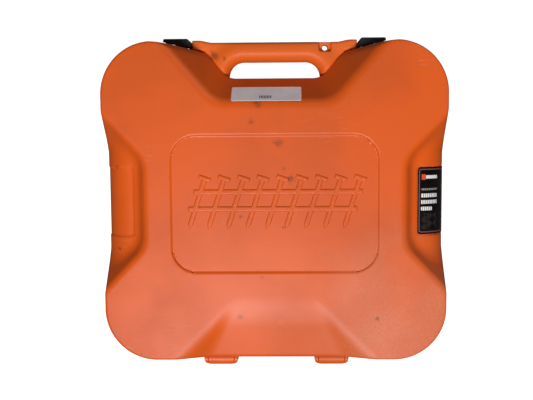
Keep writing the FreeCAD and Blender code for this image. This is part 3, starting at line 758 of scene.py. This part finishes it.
def printed_label(name):
    """A black film with a thin border and plain bars in place of its print."""
    shader = Shader(name, 0.3, linear(9, 7, 7))
    shader.surface.inputs["Specular IOR Level"].default_value = 0.2
    parts = shader.add("ShaderNodeSeparateXYZ", ((0, shader.place),)).outputs
    radius, axis_z = SIDE_FLOOR
    recess, thick, margin, _, _ = LABEL_SKIN
    start = (-LABEL[0] - margin + axis_z + radius - recess + thick + LID_Z) * MM
    along = shader.maths("ADD", shader.maths("SUBTRACT", parts[0], parts[2]), start)
    up = shader.maths("SUBTRACT", parts[1], MID_Y * MM)

    def distance(centre, half, corner):
        over = []
        for value, middle, reach in zip((along, up), centre, half):
            gap = shader.maths("ABSOLUTE", shader.maths("SUBTRACT", value, middle * MM))
            gap = shader.maths("SUBTRACT", gap, (reach - corner) * MM)
            over.append(shader.maths("POWER", shader.maths("MAXIMUM", gap, 0.0), 2.0))
        reach = shader.maths("SQRT", shader.maths("ADD", *over))
        return shader.maths("SUBTRACT", reach, corner * MM)

    ink = linear(9, 7, 7)
    gloss = shader.between(shader.noise(30, 3.0), 0.35, 0.7, 0.0, 0.25)
    tint = shader.mix(gloss, ink, linear(34, 28, 27))
    scale = shader.add("ShaderNodeTexChecker", (("Vector", shader.add(
        "ShaderNodeMapping", (("Vector", shader.place), ("Rotation", (0, 0, 0.785)))).outputs[0]),
        ("Scale", 130.0))).outputs["Fac"]
    low = shader.between(distance(*CHECKED), 0.0003, -0.001, 0.0, 0.3)
    tint = shader.mix(shader.maths("MULTIPLY", low, scale), tint, linear(70, 62, 60))
    ring = shader.maths("ABSOLUTE", distance(*BORDER))
    tint = shader.mix(shader.between(ring, 0.0009, 0.0005), tint, linear(122, 76, 74))
    for number, (centre, half, colour) in enumerate(BARS):
        mask = shader.between(distance(centre, half, 0.6), 0.0002, -0.0002)
        if number > 1:
            gaps = shader.maths("PINGPONG", shader.maths("ADD", along, 0.0009 * number), 0.0019)
            mask = shader.maths("MULTIPLY", mask, shader.between(gaps, 0.0001, 0.0008, 0.1, 1.0))
        tint = shader.mix(mask, tint, colour)
    shader.paint("Base Color", tint)
    shader.paint("Roughness", shader.between(shader.noise(70, 3.0), 0.3, 0.7, 0.24, 0.4))
    shader.bump(shader.noise(500, 2.0), 0.00003, 0.3)
    return shader.material


def grey_sticker(name):
    """A metallised sticker with faint ruled lines and a row of plain dark marks."""
    shader = Shader(name, 0.4, linear(218, 214, 218))
    spread = shader.add("ShaderNodeTexCoord").outputs["Generated"]
    parts = shader.add("ShaderNodeSeparateXYZ", ((0, spread),)).outputs
    wide, high = parts[0], parts[2]
    tint = shader.mix(shader.between(shader.noise(45, 4.0), 0.35, 0.7),
                      linear(252, 252, 255), linear(240, 240, 246))
    lines = shader.maths("PINGPONG", high, 0.06)
    inside = shader.between(shader.maths("ABSOLUTE", shader.maths("SUBTRACT", wide, 0.5)),
                            0.43, 0.42, 0.0, 0.16)
    faint = shader.maths("MULTIPLY", shader.between(lines, 0.012, 0.006), inside)
    tint = shader.mix(faint, tint, linear(88, 84, 88))
    across = shader.maths("ABSOLUTE", shader.maths("SUBTRACT", wide, 0.49))
    down = shader.maths("ABSOLUTE", shader.maths("SUBTRACT", high, 0.73))
    block = shader.maths("MULTIPLY", shader.between(across, 0.092, 0.088),
                         shader.between(down, 0.1, 0.09))
    glyphs = shader.maths("PINGPONG", wide, 0.011)
    mark = shader.maths("MULTIPLY", block, shader.between(glyphs, 0.003, 0.005))
    tint = shader.mix(shader.maths("MULTIPLY", mark, 0.9), tint, linear(26, 24, 26))
    shader.paint("Base Color", tint)
    shader.paint("Roughness", shader.between(shader.noise(200, 3.0), 0.3, 0.7, 0.34, 0.5))
    shader.bump(shader.noise(900, 2.0), 0.00003, 0.3)
    return shader.material


def dress(frame):
    """Give every piece and every CAD node that shows the material of its slot."""
    materials = {
        "case_orange": moulded_plastic("case_plastic", ORANGE, True),
        # The handle gets the case plastic made lighter: painted light.
        "handle_orange": moulded_plastic("handle_plastic_lit", LIT_HANDLE_ORANGE, True, -0.04),
        "liner_orange": moulded_plastic("liner_plastic", LINER_ORANGE, False),
        "latch_black": satin_black("latch_plastic"), "pin_steel": plated_steel("pin_metal"),
        "label_black": printed_label("label_film"), "sticker_grey": grey_sticker("sticker_film")}
    for piece, slot_name in PIECES:
        piece.data.materials.clear()
        piece.data.materials.append(materials[slot_name])
    for part in frame["record"]["subparts"]:
        node = frame["nodes"][part["node"]]
        for slot in node.material_slots:
            slot.material = materials[part["material_slot"]]


# ---------------------------------------------------------------- camera and room
CAMERA_DISTANCE = 1.1
CAMERA_TURN = (5.1, -0.967, 0.359)
CAMERA_LENS = 54.46
CAMERA_SHIFT = (-0.0168, -0.0030)
FLOOR_REACH = 60.0
FLOOR_GLOW = 1.0
SKY = 0.09
KEY_LIGHT = ((-0.3, -1.5, 3.25), 1.1, 115)      # place and size in metres, power in watts
BACK_LIGHT = ((1.2, 1.7, 1.9), 1.2, 13)


def add_camera():
    """A camera looking down on the lid, nearly square to it."""
    turns = [Matrix.Rotation(math.radians(angle), 3, axis)
             for angle, axis in zip(CAMERA_TURN, "XYZ")]
    facing = (turns[0] @ turns[1] @ turns[2]).transposed()
    data = bpy.data.cameras.new("camera")
    data.lens = CAMERA_LENS
    data.shift_x, data.shift_y = CAMERA_SHIFT
    camera = bpy.data.objects.new("camera", data)
    target = Vector((0, MID_Y, LID_Z)) * MM
    spot = target + facing @ Vector((0, 0, CAMERA_DISTANCE))
    camera.matrix_world = Matrix.Translation(spot) @ facing.to_4x4()
    bpy.context.scene.collection.objects.link(camera)
    bpy.context.scene.camera = camera


def add_light(name, spot, size, power):
    """A square soft light that faces the middle of the case."""
    data = bpy.data.lights.new(name, "AREA")
    data.shape = "SQUARE"
    data.size = size
    data.energy = power
    light = bpy.data.objects.new(name, data)
    light.location = spot
    light.rotation_euler = (-Vector(spot)).to_track_quat("-Z", "Y").to_euler()
    bpy.context.scene.collection.objects.link(light)


def add_floor():
    """A pale floor, bright enough to read as white paper."""
    mesh = bpy.data.meshes.new("floor")
    reach = FLOOR_REACH
    corners = [(-reach, -reach, 0), (reach, -reach, 0), (reach, reach, 0), (-reach, reach, 0)]
    mesh.from_pydata(corners, [], [(0, 1, 2, 3)])
    floor = bpy.data.objects.new("floor", mesh)
    bpy.context.scene.collection.objects.link(floor)
    floor.visible_diffuse = False
    floor.visible_glossy = False
    shader = Shader("floor_paper", 0.9, linear(150, 150, 150))
    shader.surface.inputs["Emission Color"].default_value = (1, 1, 1, 1)
    shader.surface.inputs["Emission Strength"].default_value = FLOOR_GLOW
    mesh.materials.append(shader.material)


def light_room():
    """One big soft light from the hinge side, a weak one opposite and a dim sky."""
    world = bpy.data.worlds.new("sky")
    world.use_nodes = True
    sky = world.node_tree.nodes["Background"]
    sky.inputs["Color"].default_value = (1, 1, 1, 1)
    sky.inputs["Strength"].default_value = SKY
    scene = bpy.context.scene
    scene.world = world
    scene.view_settings.view_transform = "Standard"
    scene.view_settings.look = "None"
    add_light("key", *KEY_LIGHT)
    add_light("back", *BACK_LIGHT)


mould_everything()
lay_labels()
dress(frame)
add_camera()
light_room()
add_floor()
